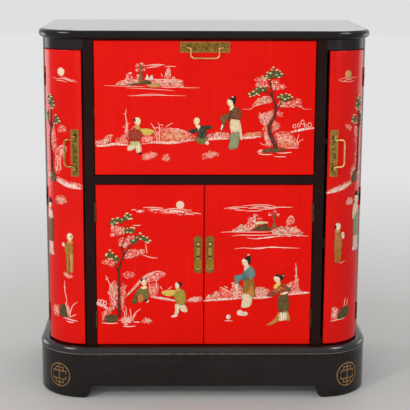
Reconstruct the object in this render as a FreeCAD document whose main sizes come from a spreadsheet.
import FreeCAD, Part
import os
import re

# Cabinet on a low stand: a fall front over two cupboard doors, and a tall bowed door at each front corner.
# Millimetres and degrees. +Z is up, the front faces -Y, the floor is z = 0 and x = 0 is the middle.

SIZES = {
    # whole object and stand
    "overall_height": 1018,
    "stand_width": 926,
    "stand_depth": 486,
    "stand_height": 147,
    "stand_projection": 22.5,
    "stand_top_thickness": 19,
    "stand_moulding_radius": 14,
    "stand_lip": 1.5,
    "foot_thickness": 22,
    "foot_return": 14,
    "foot_toe_radius": 26,
    "foot_edge_radius": 5,
    "back_foot_reach": 110,
    "apron_floor_gap": 34,
    "apron_thickness": 18,
    "apron_setback": 2,
    "glue_block_length": 60,
    "glue_block_section": 20,
    "medallion_radius": 34.5,
    "medallion_height": 62,
    "medallion_thickness": 1.6,
    "medallion_line": 2.6,
    "medallion_angle": 33.5,
    # carcase
    "corner_radius": 112,
    "corner_gap": 4,
    "right_corner_slack": 4,
    "frame_thickness": 20,
    "post_depth": 25,
    "post_angle": 68,
    "stile_width": 27,
    "partition_thickness": 16,
    "partition_step": 4,
    "board_thickness": 18,
    "shelf_thickness": 16,
    "shelf_setback": 38,
    "cupboard_shelf_height": 208,
    "back_thickness": 8,
    "top_thickness": 24,
    "top_overhang": 11,
    "top_edge_radius": 11.5,
    "frieze_height": 27,
    "middle_rail_height": 23.5,
    "lower_opening": 457,
    "middle_board_drop": 24,
    "stop_rail_height": 28,
    "peg_radius": 3,
    "peg_depth": 9,
    "peg_length": 10,
    "peg_inset": 55,
    "shelf_play": 1,
    "catch_height": 12,
    "catch_width": 42,
    "catch_depth": 12,
    "catch_play": 1,
    "corner_catch_width": 18,
    "cut_margin": 5,
    # doors and fall
    "door_thickness": 19.5,
    "door_gap": 2,
    "door_edge_radius": 3,
    "pivot_inset": 7,
    "pivot_pin_radius": 3,
    "pivot_pin_depth": 12,
    "pivot_bush_radius": 4.5,
    "pivot_bush_length": 14,
    "pivot_end_play": 0.5,
    "running_clearance": 0.05,
    "stay_share": 0.445,
    "stay_width": 8,
    "stay_thickness": 3,
    "stay_inset": 6,
    "stay_stop_radius": 2.5,
    "stay_stop_length": 5,
    "stay_stop_play": 0.3,
    "stay_flange_width": 12,
    "stay_flange_height": 36,
    "stay_flange_thickness": 2,
    "stay_clearance": 0.5,
    "guide_setback": 3,
    "guide_depth": 6,
    "guide_height": 22,
    "guide_cheek": 4,
    # butt hinges
    "hinge_length": 51,
    "hinge_inset": 50,
    "knuckle_radius": 2.75,
    "knuckle_room": 0.35,
    "knuckle_offset": 0.8,
    "knuckle_play": 0.15,
    "hinge_pin_radius": 1.4,
    "leaf_thickness": 1.5,
    "leaf_width": 16,
    # bail handles
    "plate_thickness": 1.6,
    "plate_rim": 2.5,
    "plate_sink": 0.5,
    "fall_plate_length": 132,
    "fall_plate_height": 28,
    "fall_pivot_drop": 18.8,
    "fall_bail_span": 75.6,
    "corner_plate_width": 22,
    "corner_plate_height": 128,
    "corner_handle_rise": 61.5,
    "corner_handle_angle": 10.5,
    "corner_bail_span": 73.4,
    "bail_reach": 27,
    "bail_rod_radius": 2.3,
    "bail_root_bend": 3.5,
    "bail_corner_bend": 9,
    "bail_standoff": 8,
    "bail_stub": 5.3,
    "post_offset": 8,
    "post_ball_radius": 4.2,
    "post_stem_radius": 2.8,
    "post_bore_past": 1.8,
    # drop pulls
    "pull_rise": 32,
    "left_pull_inset": 16.8,
    "right_pull_inset": 16,
    "pull_plate_length": 106,
    "pull_plate_width": 21.5,
    "pull_lobe_radius": 12,
    "pull_pivot_rise": 31,
    "pull_standoff": 5.5,
    "pull_lug_width": 2.4,
    "pull_lug_size": 7,
    "pull_barrel_radius": 3,
    "pull_barrel_length": 7,
    "pull_pin_radius": 1.3,
    "pull_side_play": 0.4,
    "drop_length": 74,
    "drop_thickness": 3.2,
    "drop_paddle_radius": 9.5,
    "drop_paddle_length": 35,
    "drop_neck_radius": 5,
    "drop_neck_width": 4.4,
    "drop_link_radius": 6.2,
    "drop_link_place": 17,
    # carved inlays
    "inlay_relief": 3.5,
    "inlay_bed": 0.15,
}

# Places that follow from the sizes
PLACES = {
    "half": "stand_width / 2 - stand_projection",
    "front": "stand_projection - stand_depth / 2",
    "rear": "stand_depth / 2",
    "inner": "front + frame_thickness",
    "lining": "rear - back_thickness",
    "corner_x": "half - corner_radius",
    "corner_y": "front + corner_radius",
    "stile_out": "corner_x - corner_gap",
    "opening": "stile_out - stile_width",
    "wall": "opening + partition_step",
    "wall_out": "wall + partition_thickness",
    "side_in": "half - frame_thickness",
    "under_top": "overall_height - top_thickness",
    "base_high": "stand_height + board_thickness",
    "rail_low": "stand_height + lower_opening",
    "rail_high": "rail_low + middle_rail_height",
    "well_low": "rail_high - middle_board_drop",
    "apron_high": "stand_height - stand_top_thickness",
    "foot_out": "stand_width / 2 - stand_lip",
    "foot_front": "stand_lip - stand_depth / 2",
    "foot_round": "corner_radius + stand_projection - stand_lip",
    "door_half": "opening - door_gap",
    "door_low": "stand_height + door_gap",
    "door_high": "rail_low - door_gap",
    "fall_low": "rail_high + door_gap",
    "fall_high": "under_top - 1.5 * door_gap",
    "pivot_y": "front + pivot_inset",
    "pivot_z": "fall_low + pivot_inset",
    "bow_low": "stand_height + 1.5 * door_gap",
    "bow_high": "under_top - frieze_height - door_gap",
    "knuckle_space": "knuckle_radius + knuckle_room",
    "hinge_ring": "corner_radius + knuckle_offset",
    "bow_hinge_x": "corner_x + hinge_ring * sin(post_angle)",
    "bow_hinge_y": "corner_y - hinge_ring * cos(post_angle)",
    "plate_floor": "plate_thickness - plate_sink",
    "bail_ring": "corner_radius + plate_floor + bail_standoff",
    "bow_bail_x": "corner_x + bail_ring * sin(corner_handle_angle)",
    "bow_bail_y": "corner_y - bail_ring * cos(corner_handle_angle)",
    "pull_height": "(door_low + door_high) / 2 + pull_rise",
    "pull_pivot_z": "pull_height + pull_pivot_rise",
    "pull_pivot_y": "front - plate_thickness - pull_standoff",
    "stay_out": "door_half - stay_inset",
    "stay_in": "stay_out - stay_thickness",
    "stay_radius": "stay_share * (fall_high - fall_low)",
    "guide_reach": "inner + guide_setback + guide_depth - pivot_y",
    "stay_stop_turn": "asin(guide_reach / stay_radius) + "
                      "asin((stay_stop_radius + stay_stop_play) / stay_radius)",
    "stay_over_turn": "stay_stop_turn + asin(1.5 * stay_stop_radius / stay_radius)",
    "corner_handle_height": "rail_high + corner_handle_rise",
}

doc = FreeCAD.newDocument("cabinet")
sheet = doc.addObject("Spreadsheet::Sheet", "Sizes")
for row, (alias, number) in enumerate(SIZES.items(), start=1):
    sheet.set(f"A{row}", alias)
    sheet.set(f"B{row}", str(number))
    sheet.setAlias(f"B{row}", alias)
doc.recompute()

X, Y, Z = FreeCAD.Vector(1, 0, 0), FreeCAD.Vector(0, 1, 0), FreeCAD.Vector(0, 0, 1)
SIDES = (("left", -1), ("right", 1))
nodes = []


def spelled(text):
    def swap(found):
        word = found.group(0)
        if word in PLACES:
            return "(" + spelled(PLACES[word]) + ")"
        return "Sizes." + word if word in SIZES else word
    return re.sub(r"[a-z_]+", swap, str(text))


def value(text):
    return float(sheet.evalExpression(spelled(text)))


def bind(obj, **texts):
    for prop, text in texts.items():
        obj.setExpression(prop, spelled(text))


def place(obj, x, y, z, axis=Z, turn=None, rotation=None):
    spin = rotation or FreeCAD.Rotation(axis, 10 if turn else 0)
    obj.Placement = FreeCAD.Placement(FreeCAD.Vector(0, 0, 0), spin)
    for letter, text in zip("xyz", (x, y, z)):
        obj.setExpression("Placement.Base." + letter, spelled(text))
    if turn:
        obj.setExpression("Placement.Rotation.Angle", spelled(turn))
    return obj


def block(name, x, y, z, dx, dy, dz):
    box = doc.addObject("Part::Box", name)
    bind(box, Length=dx, Width=dy, Height=dz)
    return place(box, x, y, z)


def side_block(name, side, x, y, z, dx, dy, dz):
    start = x if side > 0 else f"-({x}) - ({dx})"
    return block(name, start, y, z, dx, dy, dz)


def rod(name, axis, x, y, z, radius, length):
    turns = {"x": FreeCAD.Rotation(Y, 90), "y": FreeCAD.Rotation(X, -90), "z": FreeCAD.Rotation()}
    cylinder = doc.addObject("Part::Cylinder", name)
    bind(cylinder, Radius=radius, Height=length)
    return place(cylinder, x, y, z, rotation=turns[axis])


def cut(name, base, *tools):
    tool = tools[0] if len(tools) == 1 else joined(name + "_tools", *tools)
    part = doc.addObject("Part::Cut", name)
    part.Base, part.Tool = base, tool
    return part


def joined(name, *parts):
    fuse = doc.addObject("Part::MultiFuse", name)
    fuse.Shapes = list(parts)
    return fuse


def shared(name, *parts):
    common = doc.addObject("Part::MultiCommon", name)
    common.Shapes = list(parts)
    return common


def together(name, *parts):
    group = doc.addObject("Part::Compound", name)
    group.Links = list(parts)
    return group


def rounded(name, base, radius, pick):
    doc.recompute()
    size = value(radius)
    chosen = [i for i, edge in enumerate(base.Shape.Edges, start=1) if pick(edge.BoundBox)]
    fillet = doc.addObject("Part::Fillet", name)
    fillet.Base = base
    fillet.Edges = [(i, size, size) for i in chosen]
    return fillet


def node(part, label):
    part.Label = label
    nodes.append(part)
    return part


def upright(box):
    return box.ZLength > 1 and box.XLength < 0.01 and box.YLength < 0.01


def level(box, height):
    return abs(box.ZMin - height) < 0.01 and abs(box.ZMax - height) < 0.01


def quarter_ring(name, side, outer, inner, z, height):
    spin = FreeCAD.Rotation(Z, -90) if side > 0 else FreeCAD.Rotation(Z, 180)
    full = doc.addObject("Part::Cylinder", name + "_full")
    bind(full, Radius=outer, Height=height)
    full.Angle = 90
    place(full, f"{side} * corner_x", "corner_y", z, rotation=spin)
    hollow = rod(name + "_hollow", "z", f"{side} * corner_x", "corner_y", f"{z} - cut_margin", inner,
                 f"{height} + 2 * cut_margin")
    return cut(name, full, hollow)


def half_plane(name, side, start, z, height):
    # everything on one side of a bowed door's hinge line, to trim a curved piece to it
    hand = side_sign(name)
    slab = side_block(name + "_slab", side, start, "-frame_thickness", "0", "2 * corner_radius",
                      "corner_radius + 2 * frame_thickness", height)
    return place(together(name, slab), f"{hand} * bow_hinge_x", "bow_hinge_y", z, axis=Z * hand,
                 turn="post_angle")


def side_sign(name):
    return -1 if name.startswith("left") else 1


# Stand: top board with a rounded moulding on three edges
stand_block = block("stand_top_block", "-stand_width / 2", "-stand_depth / 2", "apron_high",
                    "stand_width", "stand_depth", "stand_top_thickness")
stand_round = rounded("stand_top_round", stand_block, "corner_radius + stand_projection",
                      lambda b: upright(b) and b.YMin < 0)
node(rounded("stand_top_mould", stand_round, "stand_moulding_radius",
             lambda b: level(b, value("stand_height")) and b.YMin < value("rear") - 1), "stand_top")

# Aprons, set a little behind the feet
apron_z = ("apron_floor_gap", "apron_high - apron_floor_gap")
foot_inner = "corner_x - foot_return"
node(block("front_apron_b", f"-({foot_inner})", "foot_front + apron_setback", apron_z[0],
           f"2 * ({foot_inner})", "apron_thickness", apron_z[1]), "front_apron")
side_aprons = [side_block(f"{name}_apron_b", side, "foot_out - apron_setback - apron_thickness",
                          "corner_y + foot_return", apron_z[0], "apron_thickness",
                          "rear - back_foot_reach - corner_y - foot_return", apron_z[1]) for name,
                          side in SIDES]
node(together("side_aprons_g", *side_aprons), "side_aprons")
node(block("back_apron_b", "back_foot_reach - foot_out", "rear - apron_setback - apron_thickness",
           apron_z[0],
           "2 * (foot_out - back_foot_reach)", "apron_thickness", apron_z[1]), "back_apron")

# Front feet: an L with a round corner, the toes rounded off where they meet the floor
for name, side in SIDES:
    reach_x = f"foot_out - ({foot_inner})"
    reach_y = "corner_y + foot_return - foot_front"
    outer = side_block(f"{name}_foot_outer", side, foot_inner, "foot_front", "0", reach_x, reach_y,
                       "apron_high")
    inner = side_block(f"{name}_foot_inner", side, f"{foot_inner} - cut_margin",
                       "foot_front + foot_thickness",
                       "-cut_margin", f"{reach_x} - foot_thickness + cut_margin", reach_y,
                       "apron_high + 2 * cut_margin")
    angle = cut(f"{name}_foot_l", outer, inner)
    turned = rounded(f"{name}_foot_turned", angle, "foot_round", lambda b: upright(b) and b.YMin < value(
        "foot_front") + 0.01 and abs(abs(b.XMin) - value("foot_out")) < 0.01)
    lined = rounded(f"{name}_foot_lined", turned, "foot_round - foot_thickness",
                    lambda b: upright(b) and abs(
        b.YMin - value("foot_front + foot_thickness")) < 0.01 and abs(
        abs(b.XMin) - value("foot_out - foot_thickness")) < 0.01)
    eased = rounded(f"{name}_foot_eased", lined, "foot_edge_radius", lambda b: level(b, 0) and (
        abs(b.YMin - value("foot_front")) < 0.01 or abs(
            max(abs(b.XMin), abs(b.XMax)) - value("foot_out")) < 0.01) and not (
        abs(b.YLength - value("foot_thickness")) < 0.01 or abs(b.XLength - value("foot_thickness")) < 0.01))
    toe_a = cut(f"{name}_toe_a",
                side_block(f"{name}_toe_a_b", side, f"{foot_inner} - cut_margin", "foot_front - cut_margin",
                           "-cut_margin", "foot_toe_radius + cut_margin", "foot_thickness + 3 * cut_margin",
                           "foot_toe_radius + cut_margin"),
                rod(f"{name}_toe_a_r", "y", f"{side} * ({foot_inner} + foot_toe_radius)",
                    "foot_front - 2 * cut_margin", "foot_toe_radius", "foot_toe_radius",
                    "foot_thickness + 5 * cut_margin"))
    toe_b = cut(f"{name}_toe_b",
                side_block(f"{name}_toe_b_b", side, "foot_out - foot_thickness - 2 * cut_margin",
                           "corner_y + foot_return - foot_toe_radius", "-cut_margin",
                           "foot_thickness + 3 * cut_margin", "foot_toe_radius + cut_margin",
                           "foot_toe_radius + cut_margin"),
                rod(f"{name}_toe_b_r", "x",
                    "foot_out - foot_thickness - 3 * cut_margin" if side > 0
                    else "-foot_out - 2 * cut_margin",
                    "corner_y + foot_return - foot_toe_radius", "foot_toe_radius", "foot_toe_radius",
                    "foot_thickness + 5 * cut_margin"))
    node(cut(f"{name}_foot_cut", cut(f"{name}_foot_toe", eased, toe_a), toe_b), f"front_{name}_foot")

# Back feet: plain brackets
back_feet = []
for name, side in SIDES:
    outer = side_block(f"{name}_back_outer", side, "foot_out - back_foot_reach", "rear - back_foot_reach",
                       "0",
                       "back_foot_reach", "back_foot_reach", "apron_high")
    inner = side_block(f"{name}_back_inner", side, "foot_out - back_foot_reach - cut_margin",
                       "rear - back_foot_reach - cut_margin", "-cut_margin",
                       "back_foot_reach - foot_thickness + cut_margin",
                       "back_foot_reach - foot_thickness + cut_margin", "apron_high + 2 * cut_margin")
    bracket = cut(f"{name}_back_l", outer, inner)
    back_feet.append(rounded(f"{name}_back_foot", bracket, "foot_toe_radius", lambda b: level(b, 0) and (
        (abs(b.YMin - value("rear - back_foot_reach")) < 0.01 and b.YLength < 0.01) or
        (b.XLength < 0.01 and abs(abs(b.XMin) - value("foot_out - back_foot_reach")) < 0.01))))
node(together("back_feet_g", *back_feet), "back_feet")

# Glue blocks behind the front apron and the side aprons, under the stand's top
blocks = [block(f"glue_front_{i}", f"{x} - glue_block_length / 2",
                "foot_front + apron_setback + apron_thickness", "apron_high - glue_block_section",
                "glue_block_length", "glue_block_section", "glue_block_section")
          for i, x in enumerate(("-foot_out / 2", "0", "foot_out / 2"))]
blocks += [side_block(f"{name}_glue_{i}", side,
                      "foot_out - apron_setback - apron_thickness - glue_block_section",
                      f"{y} - glue_block_length / 2", "apron_high - glue_block_section",
                      "glue_block_section",
                      "glue_block_length", "glue_block_section")
           for name, side in SIDES for i, y in enumerate(("corner_y / 3", "rear / 3"))]
node(together("glue_blocks_g", *blocks), "glue_blocks")

# Pierced brass roundels bent round the front feet: a ring with a plain key fret
medallions = []
for name, side in SIDES:
    disc_y, deep = "-foot_round - cut_margin", "medallion_radius"
    ring = cut(f"{name}_medal_ring", rod(f"{name}_medal_o", "y", "0", disc_y, "0", "medallion_radius", deep),
               rod(f"{name}_medal_i", "y", "0", disc_y, "0", "medallion_radius - medallion_line", deep))
    line, reach = "medallion_line", "medallion_radius"
    bars = [("0", "0", line, f"2 * {reach} - {line}"), ("0", f"0.34 * {reach}", f"1.3 * {reach}", line),
            ("0", f"-0.34 * {reach}", f"1.3 * {reach}", line)]
    for sx in (-1, 1):
        for sz in (-1, 1):
            bars.append((f"{sx} * (0.65 * {reach} - {line} / 2)", f"{sz} * 0.22 * {reach}", line,
                         f"0.24 * {reach}"))
            bars.append((f"{sx} * 0.36 * {reach}", f"{sz} * 0.5 * {reach}", line, f"0.32 * {reach}"))
            bars.append((f"{sx} * 0.2 * {reach}", f"{sz} * 0.64 * {reach}", f"0.4 * {reach}", line))
    boxes = [block(f"{name}_medal_bar_{i}", f"{x} - ({w}) / 2", disc_y, f"{z} - ({h}) / 2", w, deep, h)
             for i, (x, z, w, h) in enumerate(bars)]
    fret = joined(f"{name}_medal_fret", ring, *boxes)
    shell = cut(f"{name}_medal_shell",
                rod(f"{name}_medal_so", "z", "0", "0", "-medallion_radius - cut_margin",
                    "foot_round + medallion_thickness", "2 * (medallion_radius + cut_margin)"),
                rod(f"{name}_medal_si", "z", "0", "0", "-medallion_radius - 2 * cut_margin", "foot_round",
                    "2 * (medallion_radius + 2 * cut_margin)"))
    piece = shared(f"{name}_medallion", shell, fret)
    medallions.append(place(piece, f"{side} * corner_x", "corner_y", "medallion_height", axis=Z * side,
                            turn="medallion_angle"))
node(together("medallions_g", *medallions), "medallions")

# Carcase boards
bottom = block("bottom_block", "-side_in", "inner", "stand_height", "2 * side_in", "lining - inner",
               "board_thickness")
node(rounded("bottom_round", bottom, "corner_radius - frame_thickness", lambda b: upright(b) and b.YMin < 0),
     "bottom_board")
top = block("top_block", "-half - top_overhang", "front - top_overhang", "under_top",
            "2 * (half + top_overhang)",
            "rear - front + top_overhang", "top_thickness")
top_round = rounded("top_round", top, "corner_radius + top_overhang", lambda b: upright(b) and b.YMin < 0)
node(rounded("top_nose", top_round, "top_edge_radius", lambda b: b.YMin < value("rear") - 1 and (
    level(b, value("overall_height")) or level(b, value("under_top")))), "top_board")
node(block("back_b", "-half", "lining", "stand_height", "2 * half", "back_thickness",
           "under_top - stand_height"),
     "back_panel")
node(block("middle_board_b", "-wall", "inner", "well_low - board_thickness", "2 * wall", "lining - inner",
           "board_thickness"), "middle_board")
node(block("middle_rail_b", "-opening", "front", "rail_low", "2 * opening", "frame_thickness",
           "middle_rail_height"), "middle_rail")
node(block("stop_rail_b", "-wall", "inner", "under_top - stop_rail_height", "2 * wall", "board_thickness",
           "stop_rail_height"), "fall_stop_rail")
shelf_z = "base_high + cupboard_shelf_height"
node(block("cupboard_shelf_b", "shelf_play - wall", "inner + shelf_setback", shelf_z,
           "2 * (wall - shelf_play)",
           "lining - inner - shelf_setback - shelf_play", "shelf_thickness"), "cupboard_shelf")

# Shelf pegs and the holes they sit in
pegs = []
peg_places = [(y, f"{shelf_z} - peg_radius") for y in ("inner + shelf_setback + peg_inset",
                                                       "lining - peg_inset")]
for name, side in SIDES:
    for i, (y, z) in enumerate(peg_places):
        start = "wall - peg_length" if side > 0 else "-wall - peg_depth"
        pegs.append(rod(f"{name}_peg_{i}", "x", start, y, z, "peg_radius", "peg_depth + peg_length"))
node(together("shelf_pegs_g", *pegs), "shelf_pegs")

# Corner shelves: two in each corner cupboard
corner_shelves = []
for name, side in SIDES:
    for i, part in enumerate((1, 2)):
        shelf = side_block(f"{name}_corner_shelf_{i}_b", side, "wall_out", "inner",
                           f"base_high + (under_top - base_high) * {part} / 3 - shelf_thickness / 2",
                           "side_in - wall_out", "lining - inner", "shelf_thickness")
        corner_shelves.append(rounded(
            f"{name}_corner_shelf_{i}", shelf, "corner_radius - frame_thickness",
            lambda b: upright(b) and b.YMin < 0 and abs(abs(b.XMin) - value("side_in")) < 0.01))
node(together("corner_shelves_g", *corner_shelves), "corner_shelves")

# Catches: a double one for the lower doors, one for the fall, one in each corner cupboard
catches = [block(f"catch_{i}", "-catch_width / 2", "inner + catch_play", f"{under} - catch_height",
                 "catch_width",
                 "catch_depth", "catch_height")
           for i, under in enumerate(("well_low - board_thickness", "under_top - stop_rail_height"))]
catches += [side_block(f"{name}_catch", side, "corner_x", "inner + 4 * catch_play",
                       "base_high + (under_top - base_high) / 3 - shelf_thickness / 2 - catch_height",
                       "corner_catch_width", "catch_depth", "catch_height") for name, side in SIDES]
node(together("catches_g", *catches), "catches")

# Guides on the partitions for the fall's quadrant stays
guides = []
for name, side in SIDES:
    body = side_block(f"{name}_guide_b", side, "stay_in - guide_cheek", "inner + guide_setback",
                      "pivot_z + stay_radius - guide_height / 2 - 2 * stay_clearance",
                      "wall - stay_in + guide_cheek", "guide_depth", "guide_height")
    track_at = "stay_in - stay_clearance" if side > 0 else "-stay_out - stay_clearance"
    track = cut(f"{name}_guide_track",
                rod(f"{name}_track_o", "x", track_at, "pivot_y", "pivot_z",
                    "stay_radius + stay_width / 2 + stay_clearance", "stay_thickness + 2 * stay_clearance"),
                rod(f"{name}_track_i", "x", f"{track_at} - cut_margin", "pivot_y", "pivot_z",
                    "stay_radius - stay_width / 2 - stay_clearance", "stay_thickness + 3 * cut_margin"))
    guides.append(cut(f"{name}_guide", body, track))
node(together("stay_guides_g", *guides), "stay_guides")

# Pivot pins of the fall, fixed in the stiles
pins = [rod(f"{name}_pivot_pin", "x",
            "door_half - pivot_bush_length + 2 * pivot_end_play" if side > 0
            else "-opening - pivot_pin_depth",
            "pivot_y", "pivot_z", "pivot_pin_radius",
            "pivot_pin_depth + door_gap + pivot_bush_length - 2 * pivot_end_play")
        for name, side in SIDES]
node(together("fall_pivot_pins_g", *pins), "fall_pivot_pins")


# Butt hinge: the frame's leaf carries the outer knuckles, the door's leaf the middle one
def hinge(tag, side, x, y, z, turn=None):
    gap, third = "door_gap / 2", "hinge_length / 3"
    spots = {"frame": (side, ("0", f"2 * {third} + knuckle_play"), f"{third} - knuckle_play"),
             "door": (-side, (f"{third} + knuckle_play",), f"{third} - 2 * knuckle_play")}
    made = {}
    for which, (way, starts, length) in spots.items():
        key = f"{tag}_{which}"
        pieces = [side_block(f"{key}_plate", way, gap, "knuckle_space", "0", "leaf_thickness",
                             "leaf_width - knuckle_space", "hinge_length")]
        for i, start in enumerate(starts):
            pieces.append(side_block(f"{key}_neck_{i}", way, gap, "0", start, "leaf_thickness",
                                     "1.2 * knuckle_space", length))
            pieces.append(rod(f"{key}_knuckle_{i}", "z", "0", "0", start, "knuckle_radius", length))
        room = "" if which == "frame" else " + running_clearance"
        bore = rod(f"{key}_bore", "z", "0", "0", "-cut_margin", f"hinge_pin_radius{room}",
                   "hinge_length + 2 * cut_margin")
        leaf = cut(f"{key}_leaf", joined(f"{key}_fuse", *pieces), bore)
        recess = joined(f"{key}_recess",
                        side_block(f"{key}_bed", way, gap, "0", "0", "leaf_thickness", "leaf_width",
                                   "hinge_length"),
                        rod(f"{key}_notch", "z", "0", "0", "-knuckle_room", "knuckle_space",
                            "hinge_length + 2 * knuckle_room"))
        made[which] = place(leaf, x, y, z, axis=Z * side, turn=turn)
        made[which + "_recess"] = place(recess, x, y, z, axis=Z * side, turn=turn)
    made["pin"] = rod(f"{tag}_pin", "z", x, y, z, "hinge_pin_radius", "hinge_length")
    return made


hinges = {}
for name, side in SIDES:
    low_at = (f"{side} * (opening - door_gap / 2)", "front - knuckle_offset")
    low_z = ("door_low + hinge_inset", "door_high - hinge_inset - hinge_length")
    hinges[name + "_door"] = [hinge(f"{name}_low_{i}", side, *low_at, z) for i, z in enumerate(low_z)]
    bow_at = (f"{side} * bow_hinge_x", "bow_hinge_y")
    bow_z = ("bow_low + hinge_inset", "(bow_low + bow_high - hinge_length) / 2",
             "bow_high - hinge_inset - hinge_length")
    hinges[name + "_corner"] = [hinge(f"{name}_bow_{i}", side, *bow_at, z, "post_angle")
                                for i, z in enumerate(bow_z)]
every = [one for group in hinges.values() for one in group]
node(together("hinge_frame_leaves_g", *[one["frame"] for one in every]), "hinge_frame_leaves")
node(together("hinge_pins_g", *[one["pin"] for one in every]), "hinge_pins")

# Upright frame: sides, partitions, stiles, hinge posts and curved friezes
for name, side in SIDES:
    node(side_block(f"{name}_side_b", side, "side_in", "corner_y + post_depth", "stand_height",
                    "frame_thickness",
                    "lining - corner_y - post_depth", "under_top - stand_height"), f"{name}_side")
    wall = side_block(f"{name}_partition_b", side, "wall", "inner", "base_high", "partition_thickness",
                      "lining - inner", "under_top - base_high")
    holes = [rod(f"{name}_peg_hole_{i}", "x", "wall - cut_margin" if side > 0 else "-wall - peg_depth", y, z,
                 "peg_radius", "peg_depth + cut_margin") for i, (y, z) in enumerate(peg_places)]
    node(cut(f"{name}_partition_c", wall, *holes), f"{name}_partition")
    stile = side_block(f"{name}_stile_b", side, "opening", "front", "stand_height", "stile_width",
                       "frame_thickness", "under_top - stand_height")
    socket = rod(f"{name}_pivot_hole", "x",
                 "opening - cut_margin" if side > 0 else "-opening - pivot_pin_depth",
                 "pivot_y", "pivot_z", "pivot_pin_radius", "pivot_pin_depth + cut_margin")
    node(cut(f"{name}_stile_c", stile, socket, *[one["frame_recess"] for one in hinges[name + "_door"]]),
         f"{name}_stile")
    tall = "under_top - stand_height"
    curve = quarter_ring(f"{name}_post_ring", side, "corner_radius", "corner_radius - frame_thickness",
                         "stand_height", tall)
    run = side_block(f"{name}_post_run", side, "side_in", "corner_y", "stand_height", "frame_thickness",
                     "post_depth", tall)
    trim = half_plane(f"{name}_post_trim", -side, "-door_gap / 2", "stand_height - cut_margin",
                      f"{tall} + 2 * cut_margin")
    whole = cut(f"{name}_post_cut", joined(f"{name}_post_whole", curve, run), trim)
    node(cut(f"{name}_post_c", whole, *[one["frame_recess"] for one in hinges[name + "_corner"]]),
         f"{name}_hinge_post")
    over = "under_top - frieze_height"
    bow = quarter_ring(f"{name}_frieze_ring", side, "corner_radius", "corner_radius - frame_thickness", over,
                       "frieze_height")
    tab = side_block(f"{name}_frieze_tab", side, "stile_out", "front", over, "1.2 * corner_gap",
                     "frame_thickness",
                     "frieze_height")
    end = half_plane(f"{name}_frieze_trim", side, "door_gap / 2", f"{over} - cut_margin",
                     "frieze_height + 2 * cut_margin")
    node(cut(f"{name}_frieze_c", joined(f"{name}_frieze_whole", bow, tab), end), f"{name}_frieze")

# Fall front with its bushes and quadrant stays
fall_block = block("fall_block", "-door_half", "front", "fall_low", "2 * door_half", "door_thickness",
                   "fall_high - fall_low")
fall_round = rounded("fall_round", fall_block, "door_edge_radius",
                     lambda b: abs(b.YMin - value("front")) < 0.01 and b.YLength < 0.01)
bush_holes = [rod(f"{name}_bush_hole", "x",
                  "door_half - pivot_bush_length" if side > 0 else "-door_half - cut_margin",
                  "pivot_y", "pivot_z", "pivot_bush_radius", "pivot_bush_length + cut_margin")
              for name, side in SIDES]
node(cut("fall_c", fall_round, *bush_holes), "fall_panel")
bushes = [cut(f"{name}_bush",
              rod(f"{name}_bush_o", "x", "door_half - pivot_bush_length" if side > 0 else "-door_half",
                  "pivot_y",
                  "pivot_z", "pivot_bush_radius", "pivot_bush_length"),
              rod(f"{name}_bush_i", "x",
                  "door_half - pivot_bush_length + pivot_end_play" if side > 0 else "-door_half - cut_margin",
                  "pivot_y", "pivot_z", "pivot_pin_radius + running_clearance",
                  "pivot_bush_length - pivot_end_play + cut_margin"))
          for name, side in SIDES]
node(together("fall_pivot_bushes_g", *bushes), "fall_pivot_bushes")
stays = []
for name, side in SIDES:
    sweep = doc.addObject("Part::Cylinder", f"{name}_stay_sweep")
    bind(sweep, Radius="stay_radius + stay_width / 2", Height="stay_thickness",
         Angle="90 + stay_over_turn / 1 deg")
    place(sweep, "stay_out" if side > 0 else "-stay_in", "pivot_y", "pivot_z",
          rotation=FreeCAD.Rotation(Z, Y, -X, "XYZ"))
    void = rod(f"{name}_stay_void", "x", "stay_in - cut_margin" if side > 0 else "-stay_out - cut_margin",
               "pivot_y", "pivot_z", "stay_radius - stay_width / 2", "stay_thickness + 2 * cut_margin")
    ahead = side_block(f"{name}_stay_ahead", side, "stay_in - cut_margin", "front - cut_margin", "pivot_z",
                       "stay_thickness + 2 * cut_margin", "door_thickness + cut_margin", "2 * stay_radius")
    arc = cut(f"{name}_stay_arc", sweep, void, ahead)
    flange = side_block(f"{name}_stay_flange", side, "stay_in - stay_flange_width", "front + door_thickness",
                        "pivot_z + stay_radius - stay_flange_height / 2",
                        "stay_thickness + stay_flange_width",
                        "stay_flange_thickness", "stay_flange_height")
    stop = rod(f"{name}_stay_stop", "x", "stay_in - stay_stop_length" if side > 0 else "-stay_out",
               "pivot_y + stay_radius * cos(stay_stop_turn)", "pivot_z - stay_radius * sin(stay_stop_turn)",
               "stay_stop_radius", "stay_stop_length + stay_thickness")
    stays.append(joined(f"{name}_stay", arc, flange, stop))
node(together("quadrant_stays_g", *stays), "quadrant_stays")


# Bail: a bent rod that turns on two ball posts; drawn with its axis up and its arms along X
def bend(name, x, z, first, second, radius):
    torus = doc.addObject("Part::Torus", name)
    bind(torus, Radius1=radius, Radius2="bail_rod_radius")
    torus.Angle3 = 90
    return place(torus, x, "0", z, rotation=FreeCAD.Rotation(first, second, first.cross(second), "XYZ"))


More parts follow.
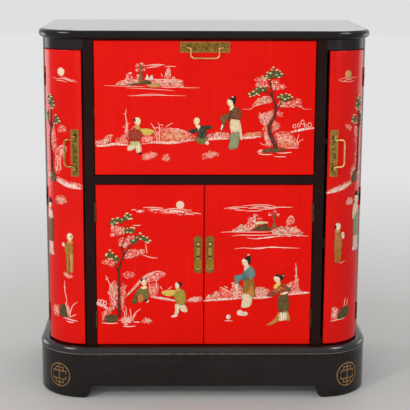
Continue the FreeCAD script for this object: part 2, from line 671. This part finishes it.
def bail(tag, side, span):
    far = f"{side} * (bail_reach - bail_corner_bend)"
    start = "bail_root_bend" if side > 0 else "-(bail_reach - bail_corner_bend)"
    pieces = [rod(f"{tag}_bar", "z", f"{side} * bail_reach", "0", f"bail_corner_bend - {span} / 2",
                  "bail_rod_radius", f"{span} - 2 * bail_corner_bend")]
    for i, way in enumerate((-1, 1)):
        end = f"{way} * {span} / 2"
        pieces.append(rod(f"{tag}_arm_{i}", "x", start, "0", end, "bail_rod_radius",
                          "bail_reach - bail_corner_bend - bail_root_bend"))
        pieces.append(bend(f"{tag}_corner_{i}", far, f"{end} - {way} * bail_corner_bend", X * side, Z * way,
                           "bail_corner_bend"))
        pieces.append(bend(f"{tag}_root_{i}", f"{side} * bail_root_bend", f"{end} + {way} * bail_root_bend",
                           X * -side, Z * -way, "bail_root_bend"))
        low = f"{end} + bail_root_bend" if way > 0 else f"{end} - bail_root_bend - bail_stub"
        pieces.append(rod(f"{tag}_stub_{i}", "z", "0", "0", low, "bail_rod_radius", "bail_stub"))
    return joined(f"{tag}_bail", *pieces)


def posts(tag, span):
    made = []
    for i, way in enumerate((-1, 1)):
        centre = f"{way} * ({span} / 2 + post_offset)"
        ball = doc.addObject("Part::Sphere", f"{tag}_ball_{i}")
        bind(ball, Radius="post_ball_radius")
        place(ball, "0", "0", centre)
        stem = rod(f"{tag}_stem_{i}", "y", "0", "0", centre, "post_stem_radius", "bail_standoff")
        low = f"{centre} - post_ball_radius - cut_margin" if way > 0 else f"{centre} - post_bore_past"
        bore = rod(f"{tag}_post_bore_{i}", "z", "0", "0", low, "bail_rod_radius + running_clearance",
                   "post_ball_radius + post_bore_past + cut_margin")
        made.append(cut(f"{tag}_post_{i}", joined(f"{tag}_post_whole_{i}", ball, stem), bore))
    return made


lying = FreeCAD.Rotation(Y, 90)
fall_pivot = ("0", "front - plate_floor - bail_standoff", "fall_high - fall_pivot_drop")
plate = block("fall_plate_b", "-fall_plate_length / 2", "front - plate_thickness",
              "fall_high - door_edge_radius - fall_plate_height", "fall_plate_length", "plate_thickness",
              "fall_plate_height")
sunk = block("fall_plate_sunk", "plate_rim - fall_plate_length / 2", "front - plate_thickness - cut_margin",
             "fall_high - door_edge_radius - fall_plate_height + plate_rim",
             "fall_plate_length - 2 * plate_rim",
             "cut_margin + plate_sink", "fall_plate_height - 2 * plate_rim")
fall_posts = [place(one, *fall_pivot, rotation=lying) for one in posts("fall", "fall_bail_span")]
node(together("fall_handle_g", cut("fall_plate_c", plate, sunk), *fall_posts), "fall_handle_plate")
node(place(bail("fall", 1, "fall_bail_span"), *fall_pivot, rotation=lying), "fall_bail")

# Lower doors with their drop pulls
for name, side in SIDES:
    panel = side_block(f"{name}_door_b", side, "door_gap / 2", "front", "door_low",
                       "door_half - door_gap / 2",
                       "door_thickness", "door_high - door_low")
    eased = rounded(f"{name}_door_round", panel, "door_edge_radius",
                    lambda b: abs(b.YMin - value("front")) < 0.01 and b.YLength < 0.01)
    node(cut(f"{name}_door_c", eased, *[one["door_recess"] for one in hinges[name + "_door"]]),
         f"{name}_door")
    node(together(f"{name}_door_leaves_g", *[one["door"] for one in hinges[name + "_door"]]),
         f"{name}_door_hinge_leaves")
    middle = f"{side} * {name}_pull_inset"
    face = "front - plate_thickness"
    back_plate = joined(
        f"{name}_pull_back",
        block(f"{name}_pull_b", f"{middle} - pull_plate_width / 2", face,
              "pull_height - pull_plate_length / 2 + pull_lobe_radius", "pull_plate_width",
              "plate_thickness",
              "pull_plate_length - 2 * pull_lobe_radius"),
        rod(f"{name}_pull_lobe_a", "y", middle, face,
            "pull_height + pull_plate_length / 2 - pull_lobe_radius",
            "pull_lobe_radius", "plate_thickness"),
        rod(f"{name}_pull_lobe_b", "y", middle, face,
            "pull_height - pull_plate_length / 2 + pull_lobe_radius",
            "pull_lobe_radius", "plate_thickness"))
    lugs = []
    for i, way in enumerate((-1, 1)):
        at = "pull_barrel_length / 2 + pull_side_play"
        at = at if way > 0 else f"-({at}) - pull_lug_width"
        lug = block(f"{name}_lug_{i}_b", f"{middle} + {at}", "pull_pivot_y - pull_lug_size / 2",
                    "pull_pivot_z - pull_lug_size / 2", "pull_lug_width",
                    "pull_standoff + pull_lug_size / 2",
                    "pull_lug_size")
        lugs.append(cut(f"{name}_lug_{i}", lug, rod(f"{name}_lug_hole_{i}", "x",
                                                    f"{middle} + {at} - cut_margin",
                                                    "pull_pivot_y", "pull_pivot_z", "pull_pin_radius",
                                                    "pull_lug_width + 2 * cut_margin")))
    width = "pull_barrel_length + 2 * (pull_side_play + pull_lug_width)"
    pin = rod(f"{name}_pull_pin", "x", f"{middle} - ({width}) / 2", "pull_pivot_y", "pull_pivot_z",
              "pull_pin_radius", width)
    node(together(f"{name}_pull_g", joined(f"{name}_pull_whole", back_plate, *lugs), pin),
         f"{name}_pull_plate")
    low = "drop_length - drop_paddle_radius"
    high = "drop_length - drop_paddle_length + drop_neck_radius"
    thin = ("-drop_thickness / 2", "drop_thickness")
    wedge = doc.addObject("Part::Wedge", f"{name}_drop_wedge")
    bind(wedge, Xmin="-drop_neck_radius", Xmax="drop_neck_radius", X2min="-drop_paddle_radius",
         X2max="drop_paddle_radius", Ymin=high, Ymax=low, Zmin=thin[0], Zmax=f"-({thin[0]})", Z2min=thin[0],
         Z2max=f"-({thin[0]})")
    place(wedge, "0", "0", "0", rotation=FreeCAD.Rotation(X, -90))
    neck = block(f"{name}_drop_neck", "-drop_neck_width / 2", thin[0], f"-({high})", "drop_neck_width",
                 thin[1], f"{high} - pull_barrel_radius / 2")
    link = rod(f"{name}_drop_link", "y", "0", thin[0], "-drop_link_place", "drop_link_radius", thin[1])
    top_disc = rod(f"{name}_drop_top", "y", "0", thin[0], f"-({high})", "drop_neck_radius", thin[1])
    low_disc = rod(f"{name}_drop_low", "y", "0", thin[0], f"-({low})", "drop_paddle_radius", thin[1])
    barrel = rod(f"{name}_drop_barrel", "x", "-pull_barrel_length / 2", "0", "0", "pull_barrel_radius",
                 "pull_barrel_length")
    eye = rod(f"{name}_drop_eye", "x", "-pull_barrel_length", "0", "0",
              "pull_pin_radius + running_clearance",
              "2 * pull_barrel_length")
    drop = cut(f"{name}_drop_c", joined(f"{name}_drop_whole", wedge, neck, link, top_disc, low_disc, barrel),
               eye)
    node(place(drop, middle, "pull_pivot_y", "pull_pivot_z"), f"{name}_pull_drop")

# Bowed corner doors with their bail handles
for name, side in SIDES:
    ring = quarter_ring(f"{name}_bow_ring", side, "corner_radius", "corner_radius - door_thickness",
                        "bow_low",
                        "bow_high - bow_low")
    if side > 0:
        slack = block("right_bow_slack", "corner_x - cut_margin", "front - cut_margin",
                      "bow_low - cut_margin",
                      "right_corner_slack + cut_margin", "2 * door_thickness",
                      "bow_high - bow_low + 2 * cut_margin")
        ring = cut("right_bow_short", ring, slack)
    free = value("corner_x + right_corner_slack") if side > 0 else value("corner_x")
    eased = rounded(f"{name}_bow_round", ring, "door_edge_radius",
                    lambda b: b.YMin < value("front") + 0.2 and (
        (upright(b) and abs(abs(b.XMin) - free) < 0.05) or level(b, value("bow_low")) or level(
            b, value("bow_high"))) and (b.ZLength > 1 or b.XLength > value("corner_radius") / 2))
    past = half_plane(f"{name}_bow_trim", side, "-door_gap / 2", "bow_low - cut_margin",
                      "bow_high - bow_low + 2 * cut_margin")
    whole = cut(f"{name}_bow_cut", eased, past)
    node(cut(f"{name}_bow_c", whole, *[one["door_recess"] for one in hinges[name + "_corner"]]),
         f"{name}_corner_door")
    node(together(f"{name}_bow_leaves_g", *[one["door"] for one in hinges[name + "_corner"]]),
         f"{name}_corner_hinge_leaves")
    width, height = "corner_plate_width", "corner_plate_height"
    slab = block(f"{name}_bow_plate_b", f"-{width} / 2", "-corner_radius - plate_thickness",
                 f"-{height} / 2", width,
                 "plate_thickness + cut_margin", height)
    sunk = block(f"{name}_bow_plate_sunk", f"plate_rim - {width} / 2",
                 "-corner_radius - plate_thickness - cut_margin",
                 f"plate_rim - {height} / 2", f"{width} - 2 * plate_rim", "cut_margin + plate_sink",
                 f"{height} - 2 * plate_rim")
    seat = rod(f"{name}_bow_seat", "z", "0", "0", f"-{height}", "corner_radius", f"2 * {height}")
    plate = cut(f"{name}_bow_plate", slab, sunk, seat)
    turn = dict(axis=Z * side, turn="corner_handle_angle")
    place(plate, f"{side} * corner_x", "corner_y", "corner_handle_height", **turn)
    spot = (f"{side} * bow_bail_x", "bow_bail_y", "corner_handle_height")
    pair = [place(one, *spot, **turn) for one in posts(f"{name}_bow", "corner_bail_span")]
    node(together(f"{name}_bow_handle_g", plate, *pair), f"{name}_corner_handle_plate")
    node(place(bail(f"{name}_bow", side, "corner_bail_span"), *spot, **turn), f"{name}_corner_bail")

# Carved inlays, as plain domed pads: figures, trees, rocks and moons
# Each pad is (place across, place up, half width, half height)
# They are in hundredths of the panel's half width and height
flat_inlays = {
    "fall": [[(-62, 70, 14, 2.2)], [(-58, 78, 2.4, 5)],
             [(-58, 23, 6, 4.1), (-58, 32.5, 7.5, 4.8), (-58, 41, 2.8, 2.8)],
             [(-4, 27, 5.5, 3.4), (-4, 35, 7.5, 4), (-4, 42, 2.8, 2.5)],
             [(22, 30, 7.5, 9.4), (23, 47, 6, 6.8), (24.5, 57.5, 3, 3.2)],
             [(65, 25, 3, 6.7), (63, 40, 2.8, 6.5), (61, 55, 2.4, 6.6), (62, 68, 2.7, 5.3),
              (64.5, 77, 9, 3.2)],
             [(48, 63.5, 8, 4.2)], [(74, 58.5, 6.5, 3)]],
    "left_door": [[(-22.5, 88, 3.9, 2.55)],
                  [(-80, 22.5, 3, 4.2), (-79, 33.5, 2.4, 5.3), (-77.5, 47, 2.4, 6), (-75.5, 59, 2.4, 5.5)],
                  [(-88.5, 58.5, 5.8, 3.5)], [(-58, 67.5, 8.8, 3.3)], [(-83.5, 77.5, 5.8, 2.4)],
                  [(-69.5, 77.5, 4.8, 5.8)], [(-60, 33, 7.1, 5), (-60, 40, 2.4, 1.5)],
                  [(-28.5, 22.4, 8.2, 4.4), (-28.5, 31.7, 6.8, 4.3), (-28.5, 38.4, 2.7, 1.9)],
                  [(-91, 16.2, 4.8, 2)]],
    "right_door": [[(38, 33.5, 8.2, 8.4), (38, 47.7, 6.1, 4.7), (38, 54.8, 2.7, 1.9)],
                   [(69.4, 22.4, 8.2, 8.4), (68, 36.4, 6.1, 4.6), (67.7, 43.5, 2.7, 2)],
                   [(65.3, 81.6, 2.7, 4.9)], [(51, 74.7, 8.2, 2)], [(30, 17.5, 3, 1.1)]],
}
# On a corner door the place across is a share of the bow's angle, and the half width a share of its radius
bow_inlays = {
    "left_corner": [[(43, 93.1, 8, 1.1)],
                    [(73.5, 68.5, 11.6, 3.1), (73.5, 75.1, 8, 2.3), (73.5, 81.2, 10.7, 3.3)],
                    [(34, 28.2, 9.8, 2.3), (34, 33.7, 10.7, 2.7), (34, 37.8, 5.4, 0.9)],
                    [(84, 37.4, 8, 5.2), (84, 45.4, 6.3, 2.3)], [(51.5, 11.3, 10.7, 2.2)]],
    "right_corner": [[(44, 92.6, 8, 1.1)],
                     [(73.5, 68.5, 11.6, 3.1), (73.5, 75.1, 8, 2.3), (73.5, 81.2, 10.7, 3.3)],
                     [(32.5, 31.9, 9.8, 2.3), (32.5, 37.4, 10.7, 2.4), (32.5, 41.3, 5.4, 1)],
                     [(84, 39, 8, 5), (84, 46.9, 6.3, 2.4)], [(51.5, 10.8, 10.7, 2.2)]],
}


def pad(name, half_width, half_height):
    dome = doc.addObject("Part::Ellipsoid", name)
    bind(dome, Radius1=half_height, Radius2=half_width, Radius3="inlay_relief")
    return dome


for name, figures in flat_inlays.items():
    low, high = ("fall_low", "fall_high") if name == "fall" else ("door_low", "door_high")
    pads = []
    for i, figure in enumerate(figures):
        for j, (x, z, w, h) in enumerate(figure):
            dome = pad(f"{name}_inlay_{i}_{j}", f"{w} / 100 * door_half", f"{h} / 100 * ({high} - {low})")
            dome.Angle3 = 180
            pads.append(place(dome, f"{x} / 100 * door_half", "front",
                              f"{low} + {z} / 100 * ({high} - {low})", rotation=FreeCAD.Rotation(Z, 180)))
    node(together(f"{name}_inlays_g", *pads), f"{name}_inlays")
for name, figures in bow_inlays.items():
    side = side_sign(name)
    pads = []
    for i, figure in enumerate(figures):
        for j, (share, z, w, h) in enumerate(figure):
            key = f"{name}_inlay_{i}_{j}"
            dome = pad(f"{key}_dome", f"{w} / 100 * corner_radius", f"{h} / 100 * (bow_high - bow_low)")
            place(dome, "0", "-corner_radius", f"bow_low + {z} / 100 * (bow_high - bow_low)")
            seat = rod(f"{key}_seat", "z", "0", "0", "0", "corner_radius + inlay_bed", "overall_height")
            pads.append(place(cut(key, dome, seat), f"{side} * corner_x", "corner_y", "0", axis=Z * side,
                              turn=f"{share} / 100 * post_angle"))
    node(together(f"{name}_inlays_g", *pads), f"{name}_inlays")

doc.recompute()
wrong = [obj.Name for obj in doc.Objects if "Invalid" in obj.State or "Error" in obj.State]
wrong += [part.Label for part in nodes
          if part.Shape.isNull() or not part.Shape.isValid() or not part.Shape.Solids]
if wrong:
    raise RuntimeError("not built: " + ", ".join(wrong))
os.makedirs("parts", exist_ok=True)
for part in nodes:
    part.Shape.exportStep(f"parts/{part.Label}.step")
    print(part.Label, len(part.Shape.Solids), round(part.Shape.Volume / 1000, 1))
print(len(nodes), "pieces")
